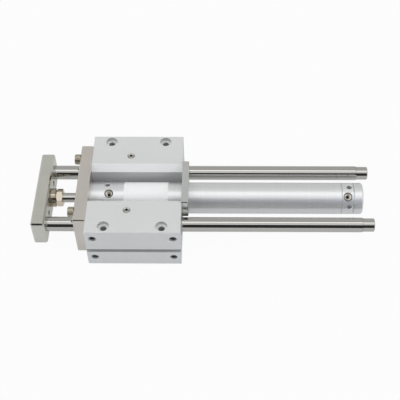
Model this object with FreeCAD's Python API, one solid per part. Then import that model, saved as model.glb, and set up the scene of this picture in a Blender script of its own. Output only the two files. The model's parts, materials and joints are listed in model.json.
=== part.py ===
"""Guided pneumatic cylinder: a double acting cylinder lying in the channel of a
guide body, with two guide rods that carry the front plate.

Millimetres. X runs from the front plate (-X) to the cylinder's rear end (+X), Z is up,
and the origin is the centre of the guide body's flat base. The plate is drawn retracted.
"""
import FreeCAD, Part
import math
import os

# Cylinder
STROKE = 150.0
BORE = 20.0
TUBE_WALL = 3.0
ROD_DIA = 8.0
PISTON_LENGTH = 20.0
BUMPER_THICKNESS = 3.0
STOP_GAP = 0.3
ROD_COVER_LENGTH = 24.0
COVER_SPIGOT_LENGTH = 8.0
HEAD_THICKNESS = 16.4

# Guide rods and the plate that they carry
GUIDE_DIA = 12.0
GUIDE_PITCH = 56.0
ROD_STAND_OUT = 6.5
ROD_TIP_DIA = 11.0
ROD_TIP_LENGTH = 8.8
ROD_TIP_TAPER = 1.5
ROD_EDGE = 0.5
CENTRE_HOLE_DIA = 3.0
CENTRE_HOLE_ANGLE = 60.0
PLATE_THICKNESS = 11.0
PLATE_WIDTH = 77.0
PLATE_HEIGHT = 25.0
PLATE_TO_FLANGE = 24.0
PLATE_CHAMFER = 1.2
ROD_SEAT_DEPTH = 5.0
LOAD_HOLE_SPACING = 32.0
LOAD_HOLE_DIA = 5.0
LOAD_HOLE_CHAMFER = 0.4

# Front flange
FLANGE_THICKNESS = 10.0
FLANGE_WIDTH = 81.0
FLANGE_ABOVE_AXIS = 20.5
FLANGE_BELOW_AXIS = 20.0
FLANGE_CHAMFER = 0.7

# Guide body
BODY_LENGTH = 76.0
BODY_WIDTH = 104.0
AXIS_HEIGHT = 22.0
WING_RISE = 20.0
CHANNEL_WIDTH = 31.0
CHANNEL_CHAMFER = 5.0
BODY_EDGE = 0.6
SIDE_GROOVE_BELOW_AXIS = 2.0
SIDE_GROOVE_WIDTH = 3.4
SIDE_GROOVE_DEPTH = 2.2
SIDE_GROOVE_LEAD = 1.2
FIXING_END_DISTANCE = 15.0
FIXING_SIDE_DISTANCE = 6.5
FIXING_HOLE_DIA = 5.2
FIXING_HEAD_DIA = 9.5
FIXING_HEAD_DEPTH = 3.4
SIDE_HOLE_DIA = 6.0
SIDE_HOLE_DEPTH = 12.0
SIDE_HOLE_END_DISTANCE = 6.0
SIDE_HOLE_SPACING_Z = 24.0
SIDE_HOLE_MIDDLE = -1.0
SIDE_HOLE_CHAMFER = 0.4

# Plain bearings, felts and wipers of the guide rods
BEARING_DIA = 18.0
BEARING_LENGTH = 24.0
WIPER_LENGTH = 4.0
OIL_FELT_LENGTH = 8.0
RING_THICKNESS = 1.1
RING_EDGE_DISTANCE = 1.3
RING_GROOVE_DEPTH = 0.6
RING_OPENING_DIA = 14.6
RING_GAP = 7.0
ROD_HOLE_GAP = 0.5
NIPPLE_X = -5.5
NIPPLE_OUTBOARD = 1.25
NIPPLE_DIA = 6.4
NIPPLE_LENGTH = 5.0
NIPPLE_NOSE_DIA = 4.2
NIPPLE_TIP_DIA = 3.4
NIPPLE_NOSE_RISE = 0.3
NIPPLE_DISH = 0.6
GREASE_HOLE_DIA = 2.4

# Rear plate that clamps the tube
REAR_PLATE_THICKNESS = 5.6
REAR_PLATE_WIDTH = 45.0
REAR_PLATE_BOTTOM = 4.0
REAR_PLATE_TOP = 21.5
REAR_PLATE_CORNER = 0.6
REAR_PLATE_EDGE = 0.5
REAR_SCREW_SPACING = 38.0
REAR_SCREW_HEIGHT = 12.5

# Air ports, cushion needles and pin holes, with angles from vertical towards -Y
PORT_DIA = 5.0
PORT_DEPTH = 4.0
PORT_CHAMFER = 1.1
PORT_ORIFICE_DIA = 3.0
FRONT_PORT_SETBACK = 15.6
REAR_PORT_SETBACK = 12.9
FRONT_PORT_TILT = 24.0
REAR_PORT_TILT = 34.0
NEEDLE_ANGLE = 40.0
NEEDLE_OFFSET = 1.5
NEEDLE_DIA = 4.2
NEEDLE_LENGTH = 4.0
NEEDLE_SUNK = 1.1
NEEDLE_SLOT_WIDTH = 0.8
NEEDLE_SLOT_DEPTH = 0.8
PIN_HOLE_DIA = 4.0
PIN_HOLE_DEPTH = 5.0
SKIN_HOLE_CHAMFER = 0.4
TUBE_GROOVE_DEPTH = 0.5
TUBE_GROOVE_WIDTH = 0.8
TUBE_GROOVE_SETBACK = 8.0
HEAD_LINE_SETBACK = 17.7
HEAD_LINE_WIDTH = 0.5
HEAD_LINE_DEPTH = 0.3
TUBE_END_CHAMFER = 1.0

# Rod cover and its seals
FRONT_SPIGOT_DIA = 16.0
FRONT_SPIGOT_LENGTH = 3.0
SEAL_POCKET_DIA = 13.0
SEAL_LENGTH = 4.0
SEAL_RETAINER_THICKNESS = 1.0
BUSHING_DIA = 11.0
BUSHING_LENGTH = 10.0
AIR_PASSAGE_DIA = 12.5
GASKET_THICKNESS = 1.7
GASKET_WIDTH = 2.4
ROD_WINDOW_DIA = 9.0

# Piston and its rings
PISTON_SKIRT_GAP = 0.08
PISTON_NECK_DIA = 6.0
PISTON_NUT_FLATS = 10.0
PISTON_NUT_HEIGHT = 5.0
RING_GROOVE_FLOOR_DIA = 14.0
PISTON_SEAL_WIDTH = 3.2
WEAR_RING_WIDTH = 4.0
MAGNET_WIDTH = 4.0
PISTON_LAND = 1.6

# Rod end: floating bracket, its lock nut and the hex nut
BRACKET_DIA = 15.5
BRACKET_COLLAR = 4.5
BRACKET_EDGE = 0.4
BRACKET_SHOULDER_DIA = 12.0
BRACKET_SHOULDER = 0.6
BRACKET_NECK_DIA = 11.0
BRACKET_FLOAT = 0.3
LOCK_NUT_DIA = 16.0
LOCK_NUT_HEIGHT = 4.0
PLATE_POCKET_DEPTH = 5.0
LOCK_NUT_SLOT_WIDTH = 2.5
LOCK_NUT_SLOT_DEPTH = 1.2
ROD_NUT_FLATS = 13.0
ROD_NUT_HEIGHT = 5.0
NUT_BEVEL_ANGLE = 30.0

# Screws
FLANGE_BOLT_DIA = 5.0
FLANGE_BOLT_LENGTH = 20.0
FLANGE_BOLT_HEAD_DIA = 8.5
FLANGE_BOLT_HEAD_HEIGHT = 5.0
FLANGE_BOLT_KEY = 4.0
FLANGE_BOLT_SPACING = 57.0
FLANGE_BOLT_RISE = 16.2
FLANGE_SCREW_DIA = 5.0
FLANGE_SCREW_LENGTH = 18.0
FLANGE_SCREW_HEAD_DIA = 10.0
FLANGE_SCREW_KEY = 3.0
FLANGE_SCREW_DROP = 14.0
COVER_SCREW_DIA = 3.0
COVER_SCREW_HEAD_DIA = 5.5
COVER_SCREW_HEAD_HEIGHT = 3.0
COVER_SCREW_KEY = 2.5
COVER_SCREW_GRIP = 8.0
COVER_SCREW_CIRCLE = 20.8
COVER_SCREW_COUNT = 4
PLATE_SCREW_DIA = 6.0
PLATE_SCREW_HEAD_DIA = 12.0
PLATE_SCREW_KEY = 4.0
PLATE_SCREW_GRIP = 12.0
REAR_SCREW_DIA = 4.0
REAR_SCREW_HEAD_DIA = 8.0
REAR_SCREW_KEY = 2.5
REAR_SCREW_GRIP = 8.0
HEAD_RIM = 0.4
CAP_SOCKET_SHARE = 0.5
FLAT_SOCKET_SHARE = 0.6
HOLE_GAP = 0.25

# Clearances per side
FIT = 0.03
RUN = 0.04
OVERCUT = 1.0

# Places that follow from the sizes
TUBE_DIA = BORE + 2 * TUBE_WALL
X_BODY_FRONT = -BODY_LENGTH / 2
X_BODY_REAR = BODY_LENGTH / 2
X_FLANGE_FRONT = X_BODY_FRONT - FLANGE_THICKNESS
X_PLATE_REAR = X_FLANGE_FRONT - PLATE_TO_FLANGE
X_PLATE_FRONT = X_PLATE_REAR - PLATE_THICKNESS
X_POCKET_FLOOR = X_PLATE_FRONT + PLATE_POCKET_DEPTH
X_LOCK_NUT_FRONT = X_POCKET_FLOOR - BRACKET_FLOAT - LOCK_NUT_HEIGHT
X_ROD_NUT = X_PLATE_REAR + BRACKET_COLLAR + BRACKET_SHOULDER
X_TUBE_FRONT = X_BODY_FRONT + ROD_COVER_LENGTH
X_CHAMBER_FRONT = X_TUBE_FRONT + COVER_SPIGOT_LENGTH
X_PISTON_REAR = X_CHAMBER_FRONT + BUMPER_THICKNESS + STOP_GAP + PISTON_LENGTH + STROKE
X_PISTON_FRONT = X_PISTON_REAR - PISTON_LENGTH
X_PISTON_NUT = X_PISTON_REAR - STOP_GAP - PISTON_NUT_HEIGHT
X_HEAD = X_PISTON_REAR + STOP_GAP + BUMPER_THICKNESS
X_TUBE_REAR = X_HEAD + HEAD_THICKNESS
X_ROD_REAR = X_BODY_REAR + STROKE + ROD_STAND_OUT
X_ROD_SEAT = X_PLATE_REAR - ROD_SEAT_DEPTH
X_SPIGOT_FRONT = X_BODY_FRONT - FRONT_SPIGOT_LENGTH
X_RETAINER_REAR = X_SPIGOT_FRONT + SEAL_RETAINER_THICKNESS
X_SEAL_REAR = X_RETAINER_REAR + SEAL_LENGTH
X_BUSHING_REAR = X_SEAL_REAR + BUSHING_LENGTH
X_RING_REAR = X_BODY_REAR - RING_EDGE_DISTANCE
X_RING_FRONT = X_RING_REAR - RING_THICKNESS
X_REAR_PLATE_BACK = X_BODY_REAR + REAR_PLATE_THICKNESS
X_FRONT_PORT = X_BODY_FRONT + FRONT_PORT_SETBACK
X_REAR_PORT = X_TUBE_REAR - REAR_PORT_SETBACK
Z_WING = AXIS_HEIGHT + WING_RISE
Z_REAR_SCREW = AXIS_HEIGHT + REAR_SCREW_HEIGHT
SIDES = {"left": -GUIDE_PITCH / 2, "right": GUIDE_PITCH / 2}
FORWARD = FreeCAD.Vector(-1, 0, 0)
REARWARD = FreeCAD.Vector(1, 0, 0)
UP = FreeCAD.Vector(0, 0, 1)
DOWN = FreeCAD.Vector(0, 0, -1)


def at(x, y=0.0, z=AXIS_HEIGHT):
    """A point, by default on the cylinder's axis."""
    return FreeCAD.Vector(x, y, z)


def both_sides(spacing):
    """Two places at the same distance on both sides of the middle."""
    return (-spacing / 2, spacing / 2)


def turned(outline, y=0.0):
    """Turn an outline of (x, radius) points about a line along X at axis height."""
    points = [at(x, y, AXIS_HEIGHT + radius) for x, radius in outline]
    face = Part.Face(Part.makePolygon(points + points[:1]))
    return face.revolve(at(0, y), REARWARD, 360)


def ring(outer, inner, x0, x1, y=0.0):
    """A plain ring along X from x0 to x1, sized by its two diameters."""
    outline = [(x0, inner / 2), (x1, inner / 2), (x1, outer / 2), (x0, outer / 2)]
    return turned(outline, y)


def bar(dia, x0, x1, y=0.0, z=AXIS_HEIGHT):
    """A round bar or hole along X."""
    return Part.makeCylinder(dia / 2, x1 - x0, at(x0, y, z), REARWARD)


def prism_x(outline, x0, x1):
    """Extrude a closed outline of (y, z) points along X."""
    points = [at(x0, y, z) for y, z in outline]
    face = Part.Face(Part.makePolygon(points + points[:1]))
    return face.extrude(at(x1 - x0, 0, 0))


def aimed(shape, point, direction):
    """Move a shape drawn along +Z from the origin so that it points along a direction."""
    moved = shape.copy()
    moved.Placement = FreeCAD.Placement(point, FreeCAD.Rotation(UP, direction))
    return moved


def repeated(shape, x, places, direction):
    """Copies of a shape drawn along +Z, one at each (y, z) place in the plane at x."""
    return Part.Compound([aimed(shape, at(x, y, z), direction) for y, z in places])


def hole(point, into, dia, depth):
    """A drilled hole that starts a little outside the surface."""
    drill = Part.makeCylinder(dia / 2, depth + OVERCUT, at(0, 0, -OVERCUT))
    return aimed(drill, point, into)


def countersink(point, into, dia, depth):
    """A cone that opens a hole of the given diameter by depth on each side, at 45 degrees."""
    wide = dia / 2 + depth + OVERCUT
    cone = Part.makeCone(wide, dia / 2, depth + OVERCUT, at(0, 0, -OVERCUT))
    return aimed(cone, point, into)


def hexagon(flats, height, z0=0.0):
    """A hexagonal prism along Z."""
    radius = flats / math.sqrt(3)
    points = []
    for step in range(6):
        angle = math.radians(60 * step)
        points.append(at(radius * math.cos(angle), radius * math.sin(angle), z0))
    face = Part.Face(Part.makePolygon(points + points[:1]))
    return face.extrude(at(0, 0, height))


def hex_nut(flats, height, bore, x0):
    """A hexagon nut along X with its outer corners turned off."""
    radius = flats / math.sqrt(3)
    flat_radius = flats / 2
    bevel = (radius - flat_radius) * math.tan(math.radians(NUT_BEVEL_ANGLE))
    x1 = x0 + height
    outline = [
        (x0, 0),
        (x0, flat_radius),
        (x0 + bevel, radius),
        (x1 - bevel, radius),
        (x1, flat_radius),
        (x1, 0),
    ]
    sides = aimed(hexagon(flats, height), at(x0), REARWARD)
    return turned(outline).common(sides).cut(bar(bore, x0 - OVERCUT, x1 + OVERCUT))


def cap_screw(dia, length, head_dia, head_height, key):
    """A socket head cap screw along Z: the head stands above z = 0, the shank hangs below."""
    z_rim = head_height - HEAD_RIM
    z_socket = head_height * (1 - CAP_SOCKET_SHARE)
    head = Part.makeCylinder(head_dia / 2, z_rim)
    rim = Part.makeCone(head_dia / 2, head_dia / 2 - HEAD_RIM, HEAD_RIM, at(0, 0, z_rim))
    shank = Part.makeCylinder(dia / 2, length, at(0, 0, -length))
    socket = hexagon(key, head_height, z_socket)
    return head.fuse([rim, shank]).removeSplitter().cut(socket)


def flat_screw(dia, length, head_dia, key):
    """A countersunk socket screw along Z, its head flush with z = 0."""
    head_height = (head_dia - dia) / 2
    head = Part.makeCone(dia / 2, head_dia / 2, head_height, at(0, 0, -head_height))
    shank = Part.makeCylinder(dia / 2, length - head_height, at(0, 0, -length))
    socket = hexagon(key, head_height, -head_height * FLAT_SOCKET_SHARE)
    return head.fuse(shank).cut(socket)


def sink_depth(head_dia, dia):
    """How deep a countersunk head goes into its piece."""
    return (head_dia - dia) / 2


def chamfered_block(x0, x1, width, z0, z1, size):
    """A rectangular block with every edge chamfered."""
    block = Part.makeBox(x1 - x0, width, z1 - z0, at(x0, -width / 2, z0))
    return block.makeChamfer(size, block.Edges)


def around(x, angle, radius=TUBE_DIA / 2):
    """A point on the tube's skin and the direction outwards, angle from vertical towards -Y."""
    turn = math.radians(angle)
    outward = FreeCAD.Vector(0, -math.sin(turn), math.cos(turn))
    return at(x) + outward * radius, outward


def port_cuts(x, angle):
    """The tapped port, its chamfer and the orifice that reaches the cylinder's axis."""
    skin, outward = around(x, angle)
    mouth = hole(skin, -outward, PORT_DIA, PORT_DEPTH)
    edge = countersink(skin, -outward, PORT_DIA, PORT_CHAMFER)
    orifice = hole(skin, -outward, PORT_ORIFICE_DIA, TUBE_DIA / 2)
    return [mouth, edge, orifice]


def skin_cuts(x, port_angle):
    """The cushion needle's hole and the pin hole, one on each side of a port."""
    holes = (
        (port_angle - NEEDLE_ANGLE, NEEDLE_DIA + 2 * FIT, NEEDLE_SUNK + NEEDLE_LENGTH),
        (port_angle + NEEDLE_ANGLE, PIN_HOLE_DIA, PIN_HOLE_DEPTH),
    )
    cuts = []
    for angle, dia, depth in holes:
        skin, outward = around(x, angle)
        cuts.append(hole(skin, -outward, dia, depth))
        cuts.append(countersink(skin, -outward, dia, SKIN_HOLE_CHAMFER))
    return cuts


def flange_bolt_places():
    """The bolts above the guide rods."""
    z = AXIS_HEIGHT + FLANGE_BOLT_RISE
    return [(y, z) for y in both_sides(FLANGE_BOLT_SPACING)]


def flange_screw_places():
    """The flush screws below the guide rods."""
    z = AXIS_HEIGHT - FLANGE_SCREW_DROP
    return [(y, z) for y in both_sides(FLANGE_BOLT_SPACING)]


def cover_screw_places():
    """The screws of the rod cover stand on a circle about the axis."""
    radius = COVER_SCREW_CIRCLE / 2
    places = []
    for step in range(COVER_SCREW_COUNT):
        angle = math.radians(360 * (step + 0.5) / COVER_SCREW_COUNT)
        places.append((radius * math.cos(angle), AXIS_HEIGHT + radius * math.sin(angle)))
    return places


def rear_screw_places():
    """The screws of the rear plate, above and beside the tube."""
    return [(y, Z_REAR_SCREW) for y in both_sides(REAR_SCREW_SPACING)]


def body_outline():
    """The body's section: flat base, grooved flanks, wings and the walls of the channel."""
    half = BODY_WIDTH / 2
    groove_high = AXIS_HEIGHT - SIDE_GROOVE_BELOW_AXIS
    groove_low = groove_high - SIDE_GROOVE_WIDTH
    wall = CHANNEL_WIDTH / 2
    flank = [
        (half - BODY_EDGE, 0),
        (half, BODY_EDGE),
        (half, groove_low - SIDE_GROOVE_LEAD),
        (half - SIDE_GROOVE_DEPTH, groove_low),
        (half - SIDE_GROOVE_DEPTH, groove_high),
        (half, groove_high),
        (half, Z_WING - BODY_EDGE),
        (half - BODY_EDGE, Z_WING),
        (wall + CHANNEL_CHAMFER, Z_WING),
        (wall, Z_WING - CHANNEL_CHAMFER),
        (wall, AXIS_HEIGHT),
    ]
    return flank + [(-y, z) for y, z in reversed(flank)]


def nipple_place(y):
    """A grease nipple's (y, z) place, a little outboard of its guide rod."""
    return y + math.copysign(NIPPLE_OUTBOARD, y), Z_WING


def rod_way_cuts(y):
    """The bore of one guide rod's bearings, its ring groove and its greasing hole."""
    nipple_seat = at(NIPPLE_X, *nipple_place(y))
    return [
        bar(BEARING_DIA + 2 * FIT, X_BODY_FRONT - OVERCUT, X_BODY_REAR + OVERCUT, y),
        bar(BEARING_DIA + 2 * RING_GROOVE_DEPTH, X_RING_FRONT, X_RING_REAR, y),
        hole(nipple_seat, DOWN, NIPPLE_DIA + 2 * FIT, NIPPLE_LENGTH),
        hole(nipple_seat, DOWN, GREASE_HOLE_DIA, WING_RISE),
    ]


def fixing_cuts():
    """The counterbored holes that fix the body from above."""
    cuts = []
    for x in both_sides(BODY_LENGTH - 2 * FIXING_END_DISTANCE):
        for y in both_sides(BODY_WIDTH - 2 * FIXING_SIDE_DISTANCE):
            mouth = at(x, y, Z_WING)
            cuts.append(hole(mouth, DOWN, FIXING_HEAD_DIA, FIXING_HEAD_DEPTH))
            cuts.append(hole(mouth, DOWN, FIXING_HOLE_DIA, Z_WING + OVERCUT))
    return cuts


def side_hole_cuts():
    """The tapped holes in the body's two sides."""
    cuts = []
    for y in both_sides(BODY_WIDTH):
        inward = FreeCAD.Vector(0, -math.copysign(1, y), 0)
        for rise in both_sides(SIDE_HOLE_SPACING_Z):
            for x in both_sides(BODY_LENGTH - 2 * SIDE_HOLE_END_DISTANCE):
                mouth = at(x, y, AXIS_HEIGHT + SIDE_HOLE_MIDDLE + rise)
                cuts.append(hole(mouth, inward, SIDE_HOLE_DIA, SIDE_HOLE_DEPTH))
                cuts.append(countersink(mouth, inward, SIDE_HOLE_DIA, SIDE_HOLE_CHAMFER))
    return cuts


def guide_body():
    """The extruded body: two wings, the channel with its cradle, bores and tapped holes."""
    cuts = [bar(TUBE_DIA + 2 * FIT, X_BODY_FRONT - OVERCUT, X_BODY_REAR + OVERCUT)]
    for y in SIDES.values():
        cuts += rod_way_cuts(y)
    cuts += fixing_cuts()
    cuts += side_hole_cuts()
    for y, z in flange_bolt_places():
        depth = FLANGE_BOLT_LENGTH - FLANGE_THICKNESS + OVERCUT
        cuts.append(hole(at(X_BODY_FRONT, y, z), REARWARD, FLANGE_BOLT_DIA + 2 * FIT, depth))
    for y, z in flange_screw_places():
        depth = FLANGE_SCREW_LENGTH - FLANGE_THICKNESS + OVERCUT
        cuts.append(hole(at(X_BODY_FRONT, y, z), REARWARD, FLANGE_SCREW_DIA + 2 * FIT, depth))
    for y, z in rear_screw_places():
        depth = REAR_SCREW_GRIP + OVERCUT
        cuts.append(hole(at(X_BODY_REAR, y, z), FORWARD, REAR_SCREW_DIA + 2 * FIT, depth))
    return prism_x(body_outline(), X_BODY_FRONT, X_BODY_REAR).cut(cuts)


def front_flange():
    """The steel flange: rod bores with wiper pockets, cover seat and bolt holes."""
    z0 = AXIS_HEIGHT - FLANGE_BELOW_AXIS
    z1 = AXIS_HEIGHT + FLANGE_ABOVE_AXIS
    block = chamfered_block(X_FLANGE_FRONT, X_BODY_FRONT, FLANGE_WIDTH, z0, z1, FLANGE_CHAMFER)
    start = X_FLANGE_FRONT - OVERCUT
    end = X_BODY_FRONT + OVERCUT
    cuts = [
        bar(ROD_WINDOW_DIA, start, end),
        bar(FRONT_SPIGOT_DIA + 2 * FIT, X_SPIGOT_FRONT, end),
    ]
    for y in SIDES.values():
        cuts.append(bar(GUIDE_DIA + 2 * ROD_HOLE_GAP, start, end, y))
        cuts.append(bar(BEARING_DIA + 2 * FIT, X_BODY_FRONT - WIPER_LENGTH, end, y))
    for y, z in flange_bolt_places():
        cuts.append(bar(FLANGE_BOLT_DIA + 2 * HOLE_GAP, start, end, y, z))
    sink = sink_depth(FLANGE_SCREW_HEAD_DIA, FLANGE_SCREW_DIA)
    for y, z in flange_screw_places():
        mouth = at(X_FLANGE_FRONT, y, z)
        cuts.append(bar(FLANGE_SCREW_DIA + 2 * HOLE_GAP, start, end, y, z))
        cuts.append(countersink(mouth, REARWARD, FLANGE_SCREW_DIA + 2 * FIT, sink))
    head_seat = X_FLANGE_FRONT + COVER_SCREW_HEAD_HEIGHT
    for y, z in cover_screw_places():
        cuts.append(bar(COVER_SCREW_DIA + 2 * HOLE_GAP, start, end, y, z))
        cuts.append(bar(COVER_SCREW_HEAD_DIA + 2 * HOLE_GAP, start, head_seat, y, z))
    return block.cut(cuts)


def flange_bolts():
    """Two socket head bolts that hold the flange to the body above the guide rods."""
    bolt = cap_screw(
        FLANGE_BOLT_DIA,
        FLANGE_BOLT_LENGTH,
        FLANGE_BOLT_HEAD_DIA,
        FLANGE_BOLT_HEAD_HEIGHT,
        FLANGE_BOLT_KEY,
    )
    return repeated(bolt, X_FLANGE_FRONT, flange_bolt_places(), FORWARD)


def flange_screws():
    """Two flush screws that hold the flange to the body below the guide rods."""
    screw = flat_screw(
        FLANGE_SCREW_DIA, FLANGE_SCREW_LENGTH, FLANGE_SCREW_HEAD_DIA, FLANGE_SCREW_KEY
    )
    return repeated(screw, X_FLANGE_FRONT, flange_screw_places(), FORWARD)


def cover_screws():
    """The screws that hold the rod cover to the flange, sunk in their counterbores."""
    screw = cap_screw(
        COVER_SCREW_DIA,
        FLANGE_THICKNESS - COVER_SCREW_HEAD_HEIGHT + COVER_SCREW_GRIP,
        COVER_SCREW_HEAD_DIA,
        COVER_SCREW_HEAD_HEIGHT,
        COVER_SCREW_KEY,
    )
    head_seat = X_FLANGE_FRONT + COVER_SCREW_HEAD_HEIGHT
    return repeated(screw, head_seat, cover_screw_places(), FORWARD)


def bearing_rings():
    """The open retaining rings behind the rear bearings, their gaps turned down."""
    outer = BEARING_DIA + 2 * RING_GROOVE_DEPTH - 2 * FIT
    rings = []
    for y in SIDES.values():
        corner = at(X_RING_FRONT - OVERCUT, y - RING_GAP / 2, AXIS_HEIGHT - outer)
        gap = Part.makeBox(RING_THICKNESS + 2 * OVERCUT, RING_GAP, outer, corner)
        rings.append(ring(outer, RING_OPENING_DIA, X_RING_FRONT, X_RING_REAR, y).cut(gap))
    return Part.Compound(rings)


def grease_nipples():
    """Flush grease nipples over the guide rods: a dished plug, its nose and filling hole."""
    nose_seat = -NIPPLE_DISH
    nose_height = NIPPLE_DISH + NIPPLE_NOSE_RISE
    plug = Part.makeCylinder(NIPPLE_DIA / 2, NIPPLE_LENGTH, at(0, 0, -NIPPLE_LENGTH))
    dish = Part.makeCone(
        NIPPLE_NOSE_DIA / 2, NIPPLE_DIA / 2 - HEAD_RIM, NIPPLE_DISH, at(0, 0, nose_seat)
    )
    nose = Part.makeCone(
        NIPPLE_NOSE_DIA / 2, NIPPLE_TIP_DIA / 2, nose_height, at(0, 0, nose_seat)
    )
    filler_start = at(0, 0, -NIPPLE_LENGTH - OVERCUT)
    filler = Part.makeCylinder(GREASE_HOLE_DIA / 2, 2 * NIPPLE_LENGTH, filler_start)
    nipple = plug.cut(dish).fuse(nose).cut(filler)
    places = [nipple_place(y) for y in SIDES.values()]
    return repeated(nipple, NIPPLE_X, places, UP)


def rear_plate():
    """The saddle plate behind the body that grips the tube from above."""
    half = REAR_PLATE_WIDTH / 2
    z0 = AXIS_HEIGHT + REAR_PLATE_BOTTOM
    z1 = AXIS_HEIGHT + REAR_PLATE_TOP
    flank = [(half, z0), (half, z1 - REAR_PLATE_CORNER), (half - REAR_PLATE_CORNER, z1)]
    outline = flank + [(-y, z) for y, z in reversed(flank)]
    block = prism_x(outline, X_BODY_REAR, X_REAR_PLATE_BACK)
    back = max(block.Faces, key=lambda face: face.CenterOfMass.x)
    block = block.makeChamfer(REAR_PLATE_EDGE, back.Edges)
    start = X_BODY_REAR - OVERCUT
    end = X_REAR_PLATE_BACK + OVERCUT
    sink = sink_depth(REAR_SCREW_HEAD_DIA, REAR_SCREW_DIA)
    cuts = [bar(TUBE_DIA + 2 * FIT, start, end)]
    for y, z in rear_screw_places():
        mouth = at(X_REAR_PLATE_BACK, y, z)
        cuts.append(bar(REAR_SCREW_DIA + 2 * HOLE_GAP, start, end, y, z))
        cuts.append(countersink(mouth, FORWARD, REAR_SCREW_DIA + 2 * FIT, sink))
    return block.cut(cuts)


def rear_plate_screws():
    """Two countersunk screws that hold the rear plate."""
    screw = flat_screw(
        REAR_SCREW_DIA,
        REAR_PLATE_THICKNESS + REAR_SCREW_GRIP,
        REAR_SCREW_HEAD_DIA,
        REAR_SCREW_KEY,
    )
    return repeated(screw, X_REAR_PLATE_BACK, rear_screw_places(), REARWARD)


def cylinder_tube():
    """The tube with its head in one piece: bore, turned lines, port and needle hole."""
    skin = TUBE_DIA / 2
    dip = skin - TUBE_GROOVE_DEPTH
    x_groove = X_TUBE_REAR - TUBE_GROOVE_SETBACK
    x_line = X_TUBE_REAR - HEAD_LINE_SETBACK
    outline = [
        (X_TUBE_FRONT, BORE / 2),
        (X_HEAD, BORE / 2),
        (X_HEAD, 0),
        (X_TUBE_REAR, 0),
        (X_TUBE_REAR, skin - TUBE_END_CHAMFER),
        (X_TUBE_REAR - TUBE_END_CHAMFER, skin),
        (x_groove + TUBE_GROOVE_WIDTH, skin),
        (x_groove + TUBE_GROOVE_WIDTH / 2, dip),
        (x_groove, skin),
        (x_line + HEAD_LINE_WIDTH, skin),
        (x_line + HEAD_LINE_WIDTH / 2, skin - HEAD_LINE_DEPTH),
        (x_line, skin),
        (X_TUBE_FRONT, skin),
    ]
    cuts = port_cuts(X_REAR_PORT, REAR_PORT_TILT)
    cuts += skin_cuts(X_REAR_PORT + NEEDLE_OFFSET, REAR_PORT_TILT)
    cuts.append(bar(AIR_PASSAGE_DIA / 2, X_HEAD - OVERCUT, X_REAR_PORT + PORT_ORIFICE_DIA / 2))
    return turned(outline).cut(cuts)


def gasket_front():
    """Where the gasket's groove starts, in the middle of the cover's spigot."""
    return X_TUBE_FRONT + (COVER_SPIGOT_LENGTH - GASKET_WIDTH) / 2


def rod_cover():
    """The front cover: two spigots, seal pocket, bushing seat and air passage."""
    skin = TUBE_DIA / 2
    spigot = BORE / 2 - FIT
    groove = BORE / 2 - GASKET_THICKNESS
    x_gasket = gasket_front()
    outline = [
        (X_SPIGOT_FRONT, SEAL_POCKET_DIA / 2),
        (X_SPIGOT_FRONT, FRONT_SPIGOT_DIA / 2),
        (X_BODY_FRONT, FRONT_SPIGOT_DIA / 2),
        (X_BODY_FRONT, skin),
        (X_TUBE_FRONT, skin),
        (X_TUBE_FRONT, spigot),
        (x_gasket, spigot),
        (x_gasket, groove),
        (x_gasket + GASKET_WIDTH, groove),
        (x_gasket + GASKET_WIDTH, spigot),
        (X_CHAMBER_FRONT, spigot),
        (X_CHAMBER_FRONT, AIR_PASSAGE_DIA / 2),
        (X_BUSHING_REAR, AIR_PASSAGE_DIA / 2),
        (X_BUSHING_REAR, BUSHING_DIA / 2),
        (X_SEAL_REAR, BUSHING_DIA / 2),
        (X_SEAL_REAR, SEAL_POCKET_DIA / 2),
    ]
    cuts = port_cuts(X_FRONT_PORT, FRONT_PORT_TILT)
    cuts += skin_cuts(X_FRONT_PORT - NEEDLE_OFFSET, FRONT_PORT_TILT)
    for y, z in cover_screw_places():
        depth = COVER_SCREW_GRIP + HOLE_GAP
        cuts.append(hole(at(X_BODY_FRONT, y, z), REARWARD, COVER_SCREW_DIA + 2 * FIT, depth))
    return turned(outline).cut(cuts)


def tube_gasket():
    """The ring that seals the cover's spigot in the bore."""
    x0 = gasket_front() + FIT
    x1 = gasket_front() + GASKET_WIDTH - FIT
    inner = BORE - 2 * GASKET_THICKNESS + 2 * FIT
    return ring(BORE - 2 * FIT, inner, x0, x1)


def cushion_needles():
    """A slotted cushion needle beside each port, sunk below the skin."""
    slot_corner = at(-NEEDLE_SLOT_WIDTH / 2, -NEEDLE_DIA, -NEEDLE_SUNK - NEEDLE_SLOT_DEPTH)
    slot = Part.makeBox(NEEDLE_SLOT_WIDTH, 2 * NEEDLE_DIA, 2 * NEEDLE_SLOT_DEPTH, slot_corner)
    stem = Part.makeCylinder(NEEDLE_DIA / 2, NEEDLE_LENGTH, at(0, 0, -NEEDLE_SUNK - NEEDLE_LENGTH))
    screw = stem.cut(slot)
    places = (
        (X_FRONT_PORT - NEEDLE_OFFSET, FRONT_PORT_TILT - NEEDLE_ANGLE),
        (X_REAR_PORT + NEEDLE_OFFSET, REAR_PORT_TILT - NEEDLE_ANGLE),
    )
    return Part.Compound([aimed(screw, *around(x, angle)) for x, angle in places])


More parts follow.
